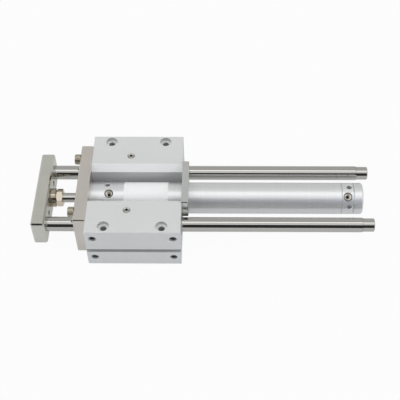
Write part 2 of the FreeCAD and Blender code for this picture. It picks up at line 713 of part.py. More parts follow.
def front_plate():
    """The plate that carries the load: rod seats, bracket pocket and two tapped holes."""
    z0 = AXIS_HEIGHT - PLATE_HEIGHT / 2
    z1 = AXIS_HEIGHT + PLATE_HEIGHT / 2
    block = chamfered_block(X_PLATE_FRONT, X_PLATE_REAR, PLATE_WIDTH, z0, z1, PLATE_CHAMFER)
    start = X_PLATE_FRONT - OVERCUT
    end = X_PLATE_REAR + OVERCUT
    cuts = [
        bar(BRACKET_NECK_DIA + 2 * BRACKET_FLOAT, start, end),
        bar(LOCK_NUT_DIA + 4 * BRACKET_FLOAT, start, X_POCKET_FLOOR),
    ]
    sink = sink_depth(PLATE_SCREW_HEAD_DIA, PLATE_SCREW_DIA)
    for y in SIDES.values():
        cuts.append(bar(GUIDE_DIA + 2 * FIT, X_ROD_SEAT, end, y))
        cuts.append(bar(PLATE_SCREW_DIA + 2 * HOLE_GAP, start, end, y))
        cuts.append(countersink(at(X_PLATE_FRONT, y), REARWARD, PLATE_SCREW_DIA + 2 * FIT, sink))
    for y in both_sides(LOAD_HOLE_SPACING):
        cuts.append(bar(LOAD_HOLE_DIA, start, end, y))
        cuts.append(countersink(at(X_PLATE_FRONT, y), REARWARD, LOAD_HOLE_DIA, LOAD_HOLE_CHAMFER))
        cuts.append(countersink(at(X_PLATE_REAR, y), FORWARD, LOAD_HOLE_DIA, LOAD_HOLE_CHAMFER))
    return block.cut(cuts)


def guide_rod(y):
    """A guide rod: tapped in front, with a turned down tip and a centre hole behind."""
    radius = GUIDE_DIA / 2
    tip = ROD_TIP_DIA / 2
    centre = CENTRE_HOLE_DIA / 2
    centre_depth = centre / math.tan(math.radians(CENTRE_HOLE_ANGLE / 2))
    outline = [
        (X_ROD_SEAT, 0),
        (X_ROD_SEAT, radius - ROD_EDGE),
        (X_ROD_SEAT + ROD_EDGE, radius),
        (X_ROD_REAR - ROD_TIP_LENGTH - ROD_TIP_TAPER, radius),
        (X_ROD_REAR - ROD_TIP_LENGTH, tip),
        (X_ROD_REAR - ROD_EDGE, tip),
        (X_ROD_REAR, tip - ROD_EDGE),
        (X_ROD_REAR, centre),
        (X_ROD_REAR - centre_depth, 0),
    ]
    depth = PLATE_SCREW_GRIP + HOLE_GAP
    tapped = hole(at(X_ROD_SEAT, y), REARWARD, PLATE_SCREW_DIA + 2 * FIT, depth)
    return turned(outline, y).cut(tapped)


def guide_rod_screws():
    """Countersunk screws through the plate into the guide rods."""
    length = PLATE_THICKNESS - ROD_SEAT_DEPTH + PLATE_SCREW_GRIP
    screw = flat_screw(PLATE_SCREW_DIA, length, PLATE_SCREW_HEAD_DIA, PLATE_SCREW_KEY)
    places = [(y, AXIS_HEIGHT) for y in SIDES.values()]
    return repeated(screw, X_PLATE_FRONT, places, FORWARD)


def piston_rod():
    """The piston rod, stepped down where the piston sits."""
    radius = ROD_DIA / 2
    neck = PISTON_NECK_DIA / 2
    outline = [
        (X_LOCK_NUT_FRONT, 0),
        (X_LOCK_NUT_FRONT, radius - ROD_EDGE),
        (X_LOCK_NUT_FRONT + ROD_EDGE, radius),
        (X_PISTON_FRONT, radius),
        (X_PISTON_FRONT, neck),
        (X_PISTON_REAR - STOP_GAP, neck),
        (X_PISTON_REAR - STOP_GAP, 0),
    ]
    return turned(outline)


def end_bracket():
    """The floating bracket: a collar behind the plate and a neck through it."""
    x_collar = X_PLATE_REAR + BRACKET_COLLAR
    bore = ROD_DIA / 2 + FIT
    collar = BRACKET_DIA / 2
    outline = [
        (X_POCKET_FLOOR - BRACKET_FLOAT, bore),
        (X_POCKET_FLOOR - BRACKET_FLOAT, BRACKET_NECK_DIA / 2),
        (X_PLATE_REAR, BRACKET_NECK_DIA / 2),
        (X_PLATE_REAR, collar - BRACKET_EDGE),
        (X_PLATE_REAR + BRACKET_EDGE, collar),
        (x_collar - BRACKET_EDGE, collar),
        (x_collar, collar - BRACKET_EDGE),
        (x_collar, BRACKET_SHOULDER_DIA / 2),
        (X_ROD_NUT, BRACKET_SHOULDER_DIA / 2),
        (X_ROD_NUT, bore),
    ]
    return turned(outline)


def bracket_lock_nut():
    """The slotted round nut that holds the bracket in the plate's pocket."""
    x1 = X_LOCK_NUT_FRONT + LOCK_NUT_HEIGHT
    nut = ring(LOCK_NUT_DIA, ROD_DIA + 2 * FIT, X_LOCK_NUT_FRONT, x1)
    slot = Part.makeBox(
        LOCK_NUT_SLOT_DEPTH + OVERCUT,
        LOCK_NUT_SLOT_WIDTH,
        2 * LOCK_NUT_DIA,
        at(X_LOCK_NUT_FRONT - OVERCUT, -LOCK_NUT_SLOT_WIDTH / 2, AXIS_HEIGHT - LOCK_NUT_DIA),
    )
    return nut.cut(slot)


def piston_stations():
    """Where the magnet, the seal and the wear ring start along the piston."""
    magnet = X_PISTON_FRONT + PISTON_LAND
    seal = magnet + MAGNET_WIDTH + PISTON_LAND
    wear = seal + PISTON_SEAL_WIDTH + PISTON_LAND
    return magnet, seal, wear


def piston():
    """The piston with three ring grooves and a pocket for its nut."""
    skirt = BORE / 2 - PISTON_SKIRT_GAP
    floor = RING_GROOVE_FLOOR_DIA / 2
    neck = PISTON_NECK_DIA / 2 + FIT
    pocket = PISTON_NUT_FLATS / math.sqrt(3) + HOLE_GAP
    outline = [(X_PISTON_FRONT, neck), (X_PISTON_FRONT, skirt)]
    for start, width in zip(piston_stations(), (MAGNET_WIDTH, PISTON_SEAL_WIDTH, WEAR_RING_WIDTH)):
        outline += [(start, skirt), (start, floor), (start + width, floor), (start + width, skirt)]
    outline += [
        (X_PISTON_REAR, skirt),
        (X_PISTON_REAR, pocket),
        (X_PISTON_NUT, pocket),
        (X_PISTON_NUT, neck),
    ]
    return turned(outline)


def piston_ring(start, width, gap):
    """A ring in one of the piston's grooves, with the given gap to the bore."""
    inner = RING_GROOVE_FLOOR_DIA + 2 * FIT
    return ring(BORE - 2 * gap, inner, start + FIT, start + width - FIT)


def bumper(x0):
    """A cushion ring at one end of the bore."""
    return ring(BORE - 2 * HOLE_GAP, AIR_PASSAGE_DIA, x0, x0 + BUMPER_THICKNESS)


def cylinder_nodes():
    """The cylinder's own parts by name: tube, cover, rod, piston and their seals."""
    magnet, seal, wear = piston_stations()
    pocket = SEAL_POCKET_DIA - 2 * FIT
    rod_bore = ROD_DIA + 2 * RUN
    neck_bore = PISTON_NECK_DIA + 2 * FIT
    return {
        "cylinder_tube": cylinder_tube(),
        "rod_cover": rod_cover(),
        "cover_screws": cover_screws(),
        "cushion_needles": cushion_needles(),
        "tube_gasket": tube_gasket(),
        "rod_bushing": ring(BUSHING_DIA - 2 * FIT, rod_bore, X_SEAL_REAR, X_BUSHING_REAR),
        "rod_seal": ring(pocket, rod_bore, X_RETAINER_REAR, X_SEAL_REAR),
        "seal_retainer": ring(pocket, ROD_WINDOW_DIA, X_SPIGOT_FRONT, X_RETAINER_REAR),
        "front_bumper": bumper(X_CHAMBER_FRONT),
        "rear_bumper": bumper(X_HEAD - BUMPER_THICKNESS),
        "piston_rod": piston_rod(),
        "piston": piston(),
        "piston_nut": hex_nut(PISTON_NUT_FLATS, PISTON_NUT_HEIGHT, neck_bore, X_PISTON_NUT),
        "magnet_ring": piston_ring(magnet, MAGNET_WIDTH, HOLE_GAP),
        "piston_seal": piston_ring(seal, PISTON_SEAL_WIDTH, RUN),
        "wear_ring": piston_ring(wear, WEAR_RING_WIDTH, RUN),
    }


def guide_nodes():
    """The guide's parts by name: body, flange, rear plate, front plate and rod end."""
    return {
        "guide_body": guide_body(),
        "front_flange": front_flange(),
        "flange_bolts": flange_bolts(),
        "flange_screws": flange_screws(),
        "bearing_retaining_rings": bearing_rings(),
        "grease_nipples": grease_nipples(),
        "rear_plate": rear_plate(),
        "rear_plate_screws": rear_plate_screws(),
        "front_plate": front_plate(),
        "guide_rod_screws": guide_rod_screws(),
        "rod_end_nut": hex_nut(ROD_NUT_FLATS, ROD_NUT_HEIGHT, ROD_DIA + 2 * FIT, X_ROD_NUT),
        "end_bracket": end_bracket(),
        "bracket_lock_nut": bracket_lock_nut(),
    }


def rod_way_nodes(side, y):
    """One guide rod with its bearings, wiper and oil felt, by name."""
    bearing_id = GUIDE_DIA + 2 * RUN
    felt_id = GUIDE_DIA + 2 * HOLE_GAP
    felt_front = NIPPLE_X - OIL_FELT_LENGTH / 2
    felt_rear = NIPPLE_X + OIL_FELT_LENGTH / 2
    front_end = X_BODY_FRONT + BEARING_LENGTH
    rear_start = X_RING_FRONT - BEARING_LENGTH
    wiper_front = X_BODY_FRONT - WIPER_LENGTH
    return {
        "guide_rod_" + side: guide_rod(y),
        "bearing_front_" + side: ring(BEARING_DIA, bearing_id, X_BODY_FRONT, front_end, y),
        "bearing_rear_" + side: ring(BEARING_DIA, bearing_id, rear_start, X_RING_FRONT, y),
        "rod_wiper_" + side: ring(BEARING_DIA, bearing_id, wiper_front, X_BODY_FRONT, y),
        "oil_felt_" + side: ring(BEARING_DIA, felt_id, felt_front, felt_rear, y),
    }


def build_nodes():
    """Every node's shape by name."""
    nodes = guide_nodes()
    nodes.update(cylinder_nodes())
    for side, y in SIDES.items():
        nodes.update(rod_way_nodes(side, y))
    return nodes


def main():
    os.makedirs("parts", exist_ok=True)
    for name, shape in build_nodes().items():
        if not shape.isValid():
            raise ValueError("invalid shape: " + name)
        shape.exportStep("parts/" + name + ".step")
        print(name, len(shape.Solids), round(shape.Volume, 1))


main()
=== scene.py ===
"""Looks of the guided pneumatic cylinder: finishes, threads, knurling, label, stage and camera.

Metres, in the frame of the packed model: X runs from the front plate to the tube's rear
end, Z is up, and the origin is the centre of the guide body's flat base.
"""
import json
import math

import bmesh
import bpy
from mathutils import Matrix, Vector


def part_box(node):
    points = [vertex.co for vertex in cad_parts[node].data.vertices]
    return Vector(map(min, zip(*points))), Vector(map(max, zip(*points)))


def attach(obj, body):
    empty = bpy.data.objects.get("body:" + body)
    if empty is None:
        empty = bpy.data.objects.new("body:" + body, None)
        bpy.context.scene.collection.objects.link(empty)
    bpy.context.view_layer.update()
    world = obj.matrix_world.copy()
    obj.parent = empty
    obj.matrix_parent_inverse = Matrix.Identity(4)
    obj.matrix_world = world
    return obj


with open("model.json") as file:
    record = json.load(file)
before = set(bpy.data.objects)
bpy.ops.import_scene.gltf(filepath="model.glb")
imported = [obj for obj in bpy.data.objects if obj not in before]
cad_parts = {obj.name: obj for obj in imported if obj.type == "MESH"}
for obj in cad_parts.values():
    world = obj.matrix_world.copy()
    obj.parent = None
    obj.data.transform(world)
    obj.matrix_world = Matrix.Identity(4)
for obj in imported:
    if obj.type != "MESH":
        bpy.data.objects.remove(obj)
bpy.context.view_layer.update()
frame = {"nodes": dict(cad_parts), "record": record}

bl_info = {
    "name": "Guided pneumatic cylinder",
    "version": (1, 0, 0),
    "blender": (4, 5, 0),
    "location": "3D View > Sidebar > Cylinder",
    "description": "Finishes, small threads, blank label and studio for a guided cylinder",
    "category": "Object",
}

MM = 0.001
HAIR = 0.02 * MM  # keeps two faces that would touch from lying in each other
WELD = 0.001 * MM  # points nearer than this are one
MOUNTS = {mount["name"]: mount for mount in frame["record"]["mounts"]}
BODY_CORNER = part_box("guide_body")[1]
TUBE_LOW, TUBE_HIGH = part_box("cylinder_tube")
TUBE_RADIUS = (TUBE_HIGH.y - TUBE_LOW.y) / 2
AXIS_Z = (TUBE_HIGH.z + TUBE_LOW.z) / 2
ROD_LOW, ROD_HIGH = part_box("guide_rod_left")
NOISE_SPREAD = {"From Min": 0.25, "From Max": 0.75}  # noise seldom leaves it, and a zone is 0 or 1


def linear(hex_colour):
    """An sRGB hex colour as linear red, green, blue and alpha."""
    channels = [int(hex_colour[i:i + 2], 16) / 255 for i in (1, 3, 5)]
    curved = [c / 12.92 if c <= 0.04045 else ((c + 0.055) / 1.055) ** 2.4 for c in channels]
    return (*curved, 1.0)


def colour(name, description, hex_colour):
    """A colour property whose default is an sRGB hex value."""
    return bpy.props.FloatVectorProperty(
        name=name, description=description, default=linear(hex_colour),
        size=4, subtype="COLOR", min=0, max=1,
    )


def length(name, description, millimetres):
    """A length property whose default is given in millimetres."""
    return bpy.props.FloatProperty(
        name=name, description=description, default=millimetres * MM, unit="LENGTH", precision=5
    )


def angle(name, description, degrees):
    """An angle property whose default is given in degrees."""
    return bpy.props.FloatProperty(
        name=name, description=description, default=math.radians(degrees), subtype="ANGLE"
    )


def share(name, description, default):
    """A property between 0 and 1."""
    return bpy.props.FloatProperty(
        name=name, description=description, default=default, subtype="FACTOR", min=0, max=1
    )


class FinishSettings(bpy.types.PropertyGroup):
    """Colours of the finishes."""

    anodised: colour("Anodised body", "Clear anodised extrusion of the guide body", "#DBDBDA")
    tapped: colour("Tapped holes", "Threads in the body's side holes, in their own shadow", "#77787A")
    tube: colour("Tube", "Hard anodised, turned tube and rod cover", "#E4E5E6")
    bare: colour("Bare aluminium", "Freshly cut aluminium inside the ports", "#EAE5DC")
    # The port edge colour is painted shade on each port's lead-in.
    port_edge_shade: colour("Port edge", "Darkened lead-in round each port", "#5E554A")
    plate: colour("Front plate", "Nickel plated ground steel of the plate", "#CDCDC6")
    flange: colour("Flange", "Nickel plated ground steel of the flange", "#D3CEC8")
    rear_plate: colour("Rear plate", "Nickel plated steel of the rear plate", "#CFCFCE")
    chrome: colour("Chrome", "Hard chrome of the rods", "#BCBBB8")
    fastener: colour("Fasteners", "Bright nickel plating of screws and bracket", "#AFA797")
    nut: colour("Nut", "Nickel plating of the rod end nut", "#E8DCCC")
    nipple: colour("Nipples", "Plated steel of the grease nipples", "#C6C5C0")
    # The check balls' dark colour is painted shade, standing for the shade in the nipples' holes.
    ball: colour("Check balls", "Bare steel in the nipples, dark with grease", "#3E3B37")
    # The needles' grey is plated steel darkened with painted shade of their sockets.
    needle: colour("Needles", "Plated steel of the cushion needles", "#8F8B85")
    bronze: colour("Bronze", "Bushing round the piston rod", "#B08A4E")
    iron: colour("Cast iron", "Bearings of the guide rods, and the magnet ring", "#6A6A68")
    rubber: colour("Rubber", "Seals, wipers and bumpers", "#232323")
    felt: colour("Felt", "Oiled felt rings", "#8F846C")
    polymer: colour("Polymer", "Wear ring of the piston", "#3A3A3C")
    label: colour("Label", "Blank label film", "#F6F6F5")
    taper: length("Rod taper", "Distance of the taper's middle from a guide rod's rear end", 9.6)


class LabelSettings(bpy.types.PropertyGroup):
    """Sizes of the blank label."""

    along: length("Length", "Length along the tube", 36.5)
    middle: length("Middle", "Distance of its middle from the body's centre", 8.1)
    arc: angle("Arc", "Angle that it wraps round the tube", 104)
    film: length("Film", "Thickness of the film", 0.08)
    corner: length("Corner", "Radius of its corners", 1.2)


class ThreadSettings(bpy.types.PropertyGroup):
    """Sizes of the tapped threads."""

    pitch: length("Pitch", "Distance from one turn to the next", 0.8)
    height: length("Height", "How far the thread stands into its hole", 0.42)
    depth: length("Depth", "Depth of the tapped side and load holes", 10)
    side_mouth: length("Side mouth", "From a side hole's middle to where its thread starts", 4.7)
    load_mouth: length("Load mouth", "From a load hole's middle to where its thread starts", 5.1)
    steps: bpy.props.IntProperty(name="Steps", description="Flats in one turn", default=28, min=12)


class KnurlSettings(bpy.types.PropertyGroup):
    """Sizes of the knurling on the flange bolts' heads."""

    ridges: bpy.props.IntProperty(name="Ridges", description="Ridges round one head", default=40, min=12)
    height: length("Height", "How far the ridges stand out", 0.08)
    margin: length("Margin", "Plain rim left at each end of the head", 0.45)
    wall: length("Wall", "Thickness of the knurled skin", 0.1)


class BallSettings(bpy.types.PropertyGroup):
    """Sizes of the check balls in the grease nipples."""

    radius: length("Radius", "Radius of a ball", 0.75)
    sunk: length("Sunk", "Depth of its centre below the nipple's rim", 0.95)
    seat: length("Seat", "From its centre down to the flat on its spring", 0.5)


class StageSettings(bpy.types.PropertyGroup):
    """Camera, floor and light."""

    lens: bpy.props.FloatProperty(name="Lens", description="Focal length in mm", default=77.77)
    place: bpy.props.FloatVectorProperty(
        name="Camera", description="Where the camera stands", default=(0.06544, -0.46133, 0.57848),
        unit="LENGTH",
    )
    pitch: angle("Pitch", "Angle that it looks down", 50.462)
    yaw: angle("Yaw", "Turn to the right of +Y", -1.599)
    roll: angle("Roll", "Tilt of the frame", -1.062)
    paper: colour("Paper", "Pale floor", "#C8C8C6")
    seen_white: share("Seen white", "Share of the floor that the camera sees as plain white", 0.95)
    mirrored_white: share("Mirrored white", "Share of the floor that shiny metal mirrors as white", 0.5)
    light: bpy.props.FloatProperty(
        name="Light", description="Strength of the studio light on the part", default=3.6, min=0
    )
    backdrop: share("Backdrop", "White behind the floor, as the camera sees it", 0.97)


def add(tree, kind, inputs=None, stops=None, **settings):
    """Add a node, set it up, and give each input its value or the socket that feeds it."""
    made = tree.nodes.new(kind)
    for name, value in settings.items():
        setattr(made, name, value)
    for name, value in (inputs or {}).items():
        if isinstance(value, bpy.types.NodeSocket):
            tree.links.new(value, made.inputs[name])
        else:
            made.inputs[name].default_value = value
    if stops:
        ramp = made.color_ramp.elements
        while len(ramp) < len(stops):
            ramp.new(1.0)
        for element, (position, shade) in zip(ramp, stops):
            element.position = position
            element.color = shade
    return made


def new_material(name):
    """An empty material with its shader and the object's coordinates."""
    material = bpy.data.materials.new(name)
    material.use_nodes = True
    tree = material.node_tree
    tree.nodes.clear()
    coords = add(tree, "ShaderNodeTexCoord").outputs["Object"]
    shader = add(tree, "ShaderNodeBsdfPrincipled")
    add(tree, "ShaderNodeOutputMaterial", {"Surface": shader.outputs["BSDF"]})
    return material, tree, coords, shader


def dressed(material, shader, base, rough, normal, metallic):
    """The material, once its shader has its colour, roughness, normal and metallic share."""
    for name, socket in (("Base Color", base), ("Roughness", rough), ("Normal", normal)):
        material.node_tree.links.new(socket, shader.inputs[name])
    shader.inputs["Metallic"].default_value = metallic
    return material


def grained(tree, coords, sizes, detail=3.0):
    """Noise whose grain measures the given millimetres along X, Y and Z."""
    per_grain = [1 / (size * MM) for size in sizes]
    scaled = add(tree, "ShaderNodeMapping", {"Vector": coords, "Scale": per_grain}).outputs["Vector"]
    noise = add(tree, "ShaderNodeTexNoise", {"Vector": scaled, "Scale": 1.0, "Detail": detail})
    return noise.outputs["Fac"]


def toned(tree, shade, *layers):
    """A colour made lighter or darker by noise or zones, each with its factor when low and when high."""
    if not isinstance(shade, bpy.types.NodeSocket):
        shade = shade[:3]
    for layer, low, high in layers:
        factor = add(
            tree, "ShaderNodeMapRange", {"Value": layer, **NOISE_SPREAD, "To Min": low, "To Max": high}
        ).outputs["Result"]
        shade = add(
            tree, "ShaderNodeVectorMath", {0: shade, "Scale": factor}, operation="SCALE"
        ).outputs["Vector"]
    return shade


def surfaced(tree, gloss, relief, edge):
    """A roughness and a normal.

    Gloss is a noise with the roughness when it is low and when it is high. Relief is a noise
    with its height in mm and its strength, over edges rounded by a radius in mm.
    """
    noise, low, high = gloss
    rough = add(
        tree, "ShaderNodeMapRange", {"Value": noise, **NOISE_SPREAD, "To Min": low, "To Max": high}
    )
    rounded = add(tree, "ShaderNodeBevel", {"Radius": edge * MM}, samples=4).outputs["Normal"]
    noise, height, strength = relief
    bumped = add(
        tree, "ShaderNodeBump",
        {"Strength": strength, "Distance": height * MM, "Height": noise, "Normal": rounded},
    )
    return rough.outputs["Result"], bumped.outputs["Normal"]


def zone(tree, *spans):
    """1 where each value lies within its reach of its middle, and 0 elsewhere."""
    inside = 1.0
    for value, middle, reach in spans:
        near = add(tree, "ShaderNodeMath", {0: value, 1: middle, 2: reach}, operation="COMPARE")
        both = add(tree, "ShaderNodeMath", {0: inside, 1: near.outputs[0]}, operation="MULTIPLY")
        inside = both.outputs[0]
    return inside


def folded(tree, vector):
    """How large a place or a normal is along X, Y and Z, the same for both sides of the part."""
    sizes = add(tree, "ShaderNodeVectorMath", {0: vector}, operation="ABSOLUTE").outputs["Vector"]
    return add(tree, "ShaderNodeSeparateXYZ", {"Vector": sizes}).outputs


def groove_shade_zones(tree, place):
    """Painted shade in the two long grooves in the body's sides."""
    deep, half_deep = BODY_CORNER.y - 1.5 * MM, 1.4 * MM
    level, half_high = AXIS_Z - 4.1 * MM, 2.3 * MM
    return [(zone(tree, (place["Y"], deep, half_deep), (place["Z"], level, half_high)), 1.0, 0.5)]


def counterbore_shade_and_light(tree, place, facing):
    """The four counterbores: painted shade on their walls, and painted light on their floors."""
    radius, depth = 4.8 * MM, 10 * MM
    dims = MOUNTS["body_fixing_holes"]["dims"]
    middle = (dims["spacing_x_mm"] * MM / 2, dims["spacing_y_mm"] * MM / 2, 0)
    spot = add(tree, "ShaderNodeCombineXYZ", {"X": place["X"], "Y": place["Y"]}).outputs["Vector"]
    apart = add(tree, "ShaderNodeVectorMath", {0: spot, 1: middle}, operation="DISTANCE").outputs["Value"]
    inside = ((apart, 0.0, radius), (place["Z"], BODY_CORNER.z, depth))
    wall, floor = (facing["Z"], 0.0, 0.5), (facing["Z"], 1.0, 0.5)
    return [(zone(tree, *inside, wall), 1.0, 0.78), (zone(tree, *inside, floor), 1.0, 1.18)]


def channel_shade_and_light(tree, place, facing):
    """Painted light on the channel's shoulders, and painted shade on its walls."""
    inside = (place["Y"], 0.0, 25 * MM)
    shoulder, wall = (facing["Z"], math.sqrt(1 / 2), 0.05), (facing["Y"], 1.0, 0.05)
    return [(zone(tree, inside, shoulder), 1.0, 1.2), (zone(tree, inside, wall), 1.0, 0.83)]


def anodised_extrusion(shade):
    """Clear anodised aluminium extrusion, etched matt: a pale satin with faint drawn lines along X.

    The etch's grit and the drawn lines are coarser than the real ones, so that they show.
    """
    material, tree, coords, shader = new_material("anodised_extrusion")
    drawn = grained(tree, coords, (60.0, 0.5, 0.5))
    grit = grained(tree, coords, (0.35, 0.35, 0.35), detail=2.0)
    cloud = grained(tree, coords, (35.0, 35.0, 35.0), detail=1.0)
    place = folded(tree, coords)
    facing = folded(tree, add(tree, "ShaderNodeNewGeometry").outputs["True Normal"])
    # Painted shade lies in the side grooves and on the counterbores' and channel's walls; painted light
    # lies on the counterbores' floors and the channel's shoulders.
    base = toned(
        tree, shade, (drawn, 0.98, 1.02), (cloud, 0.985, 1.015), *groove_shade_zones(tree, place),
        *counterbore_shade_and_light(tree, place, facing), *channel_shade_and_light(tree, place, facing),
    )
    rough, normal = surfaced(tree, (drawn, 0.44, 0.52), (grit, 0.01, 0.5), edge=0.35)
    return dressed(material, shader, base, rough, normal, metallic=0.3)


def port_zones(tree, coords, port, inside, edge, outside):
    """Colours round a port's axis: its bare inside, painted shade on its lead-in, and the skin beyond."""
    reach = 10 * MM
    flatten = 0.45  # how much distance along the axis counts, so that the tube's far side is skin
    out = Vector(port["axis"])
    place = add(
        tree, "ShaderNodeVectorMath", {0: coords, 1: port["pos_m"]}, operation="SUBTRACT"
    ).outputs["Vector"]
    turned = add(tree, "ShaderNodeVectorMath", {0: place, 1: out}, operation="CROSS_PRODUCT").outputs[0]
    aside = add(tree, "ShaderNodeVectorMath", {0: turned}, operation="LENGTH").outputs["Value"]
    along = add(tree, "ShaderNodeVectorMath", {0: place, 1: out}, operation="DOT_PRODUCT").outputs["Value"]
    along = add(tree, "ShaderNodeMath", {0: along}, operation="ABSOLUTE").outputs[0]
    along = add(tree, "ShaderNodeMath", {0: along, 1: flatten}, operation="MULTIPLY").outputs[0]
    apart = add(tree, "ShaderNodeMath", {0: aside, 1: along}, operation="MAXIMUM").outputs[0]
    part = add(tree, "ShaderNodeMath", {0: apart, 1: reach}, operation="DIVIDE").outputs[0]
    hole = port["dims"]["r_mm"]
    # The edge band between the bare inside and the skin is painted shade.
    rings = ((hole + 0.3, inside), (hole + 0.45, edge), (hole + 1.05, edge), (hole + 1.15, outside))
    stops = [(radius * MM / reach, shade) for radius, shade in rings]
    return add(tree, "ShaderNodeValToRGB", {"Fac": part}, stops).outputs["Color"]


def turned_aluminium(name, port, colours, scribed=()):
    """Hard anodised turned aluminium: a soft sheen crossed by fine rings, with a port cut bare and painted
    shade round its lead-in.

    The rings are coarser than the real ones, so that they show. Scribed gives the places of
    thin turned lines in mm from the port.
    """
    half_line = 0.18 * MM
    material, tree, coords, shader = new_material(name)
    rings = grained(tree, coords, (0.45, 400.0, 400.0))
    bands = grained(tree, coords, (3.0, 400.0, 400.0), detail=1.0)
    along = add(tree, "ShaderNodeSeparateXYZ", {"Vector": coords}).outputs["X"]
    places = [port["pos_m"][0] + place * MM for place in scribed]
    lines = [(zone(tree, (along, place, half_line)), 1.0, 0.6) for place in places]
    skin = port_zones(tree, coords, port, colours.bare, colours.port_edge_shade, colours.tube)
    base = toned(tree, skin, (bands, 0.98, 1.015), *lines)
    rough, normal = surfaced(tree, (rings, 0.37, 0.45), (rings, 0.012, 0.6), edge=0.2)
    return dressed(material, shader, base, rough, normal, metallic=0.92)


def ground_nickel(name, shade, roughness):
    """Ground steel under electroless nickel: warm satin with grinding lines, glossy edges, and painted
    shade on the corners.

    A face's largest share of its normal tells them apart: 1 on a flat, 0.71 on a chamfer and
    0.58 on a corner where three chamfers meet. The grinding lines are coarser than the real
    ones, so that they show.
    """
    material, tree, coords, shader = new_material(name)
    lines = grained(tree, coords, (0.3, 30.0, 0.3))
    cloud = grained(tree, coords, (14.0, 14.0, 14.0), detail=2.0)
    facing = folded(tree, add(tree, "ShaderNodeNewGeometry").outputs["True Normal"])
    most = add(tree, "ShaderNodeMath", {0: facing["X"], 1: facing["Y"]}, operation="MAXIMUM").outputs[0]
    most = add(tree, "ShaderNodeMath", {0: most, 1: facing["Z"]}, operation="MAXIMUM").outputs[0]
    flat = add(tree, "ShaderNodeMapRange", {"Value": most, "From Min": 0.75, "From Max": 0.95}).outputs[0]
    corner = zone(tree, (most, math.sqrt(1 / 3), 0.05))
    # The corner layer is painted shade on the facets where three chamfers meet.
    base = toned(tree, shade, (cloud, 0.96, 1.04), (corner, 1.0, 0.3))
    satin, normal = surfaced(
        tree, (lines, roughness - 0.05, roughness + 0.07), (lines, 0.006, 0.5), edge=0.15
    )
    rough = add(tree, "ShaderNodeMath", {0: satin, 1: flat, 2: 0.06}, operation="MULTIPLY_ADD").outputs[0]
    return dressed(material, shader, base, rough, normal, metallic=1.0)


def along_rod(tree, coords):
    """The normal of the straight guide rod at a point of it or of its taper."""
    aside = abs(ROD_LOW.y + ROD_HIGH.y) / 2
    middle = (ROD_LOW.z + ROD_HIGH.z) / 2
    axes = add(tree, "ShaderNodeSeparateXYZ", {"Vector": coords}).outputs
    side = add(tree, "ShaderNodeMath", {0: axes["Y"]}, operation="SIGN").outputs[0]
    axis = add(tree, "ShaderNodeMath", {0: side, 1: aside}, operation="MULTIPLY").outputs[0]
    across = add(tree, "ShaderNodeMath", {0: axes["Y"], 1: axis}, operation="SUBTRACT").outputs[0]
    rise = add(tree, "ShaderNodeMath", {0: axes["Z"], 1: middle}, operation="SUBTRACT").outputs[0]
    spoke = add(tree, "ShaderNodeCombineXYZ", {"Y": across, "Z": rise}).outputs["Vector"]
    return add(tree, "ShaderNodeVectorMath", {0: spoke}, operation="NORMALIZE").outputs["Vector"]


def ground_chrome(shade, taper):
    """Hard chrome, ground and polished: near mirror with the faintest rings, the taper blended by hand and
    dimmed with painted shade.

    The rings are coarser than the real ones, so that they show.
    """
    half_taper = 0.9 * MM
    material, tree, coords, shader = new_material("ground_chrome")
    rings = grained(tree, coords, (0.25, 400.0, 400.0), detail=2.0)
    along = add(tree, "ShaderNodeSeparateXYZ", {"Vector": coords}).outputs["X"]
    blended = zone(tree, (along, taper, half_taper))
    # The taper's factor of 0.9 is painted shade that dims the glint on the taper.
    base = toned(tree, shade, (rings, 0.985, 1.01), (blended, 1.0, 0.9))
    polish, ringed = surfaced(tree, (rings, 0.05, 0.1), (rings, 0.001, 0.4), edge=0.1)
    rough = add(
        tree, "ShaderNodeMath", {0: blended, 1: 0.05, 2: polish}, operation="MULTIPLY_ADD"
    ).outputs[0]
    normal = add(
        tree, "ShaderNodeMix", {0: blended, 4: ringed, 5: along_rod(tree, coords)}, data_type="VECTOR"
    ).outputs[1]
    return dressed(material, shader, base, rough, normal, metallic=1.0)


def bright_nickel(name, shade, roughness):
    """Bright nickel on small steel turnings: glossy, warm, with a slight orange peel."""
    material, tree, coords, shader = new_material(name)
    peel = grained(tree, coords, (0.8, 0.8, 0.8), detail=2.0)
    base = toned(tree, shade, (peel, 0.95, 1.03))
    rough, normal = surfaced(
        tree, (peel, roughness - 0.03, roughness + 0.05), (peel, 0.01, 0.4), edge=0.15
    )
    return dressed(material, shader, base, rough, normal, metallic=1.0)


def plain_finish(name, shade, metallic, roughness, grain):
    """A finish of an inner piece: even colour with a grain of the given millimetres."""
    material, tree, coords, shader = new_material(name)
    noise = grained(tree, coords, (grain, grain, grain))
    base = toned(tree, shade, (noise, 0.88, 1.1))
    rough, normal = surfaced(
        tree, (noise, roughness - 0.06, roughness + 0.06), (noise, 0.02, 0.5), edge=0.1
    )
    return dressed(material, shader, base, rough, normal, metallic)


def label_film(shade):
    """Blank white polyester label: half gloss, very slightly uneven where it was rubbed down."""
    material, tree, coords, shader = new_material("label_film")
    waves = grained(tree, coords, (7.0, 7.0, 7.0), detail=1.0)
    base = toned(tree, shade, (waves, 0.985, 1.0))
    rough, normal = surfaced(tree, (waves, 0.32, 0.4), (waves, 0.05, 0.2), edge=0.05)
    return dressed(material, shader, base, rough, normal, metallic=0.0)


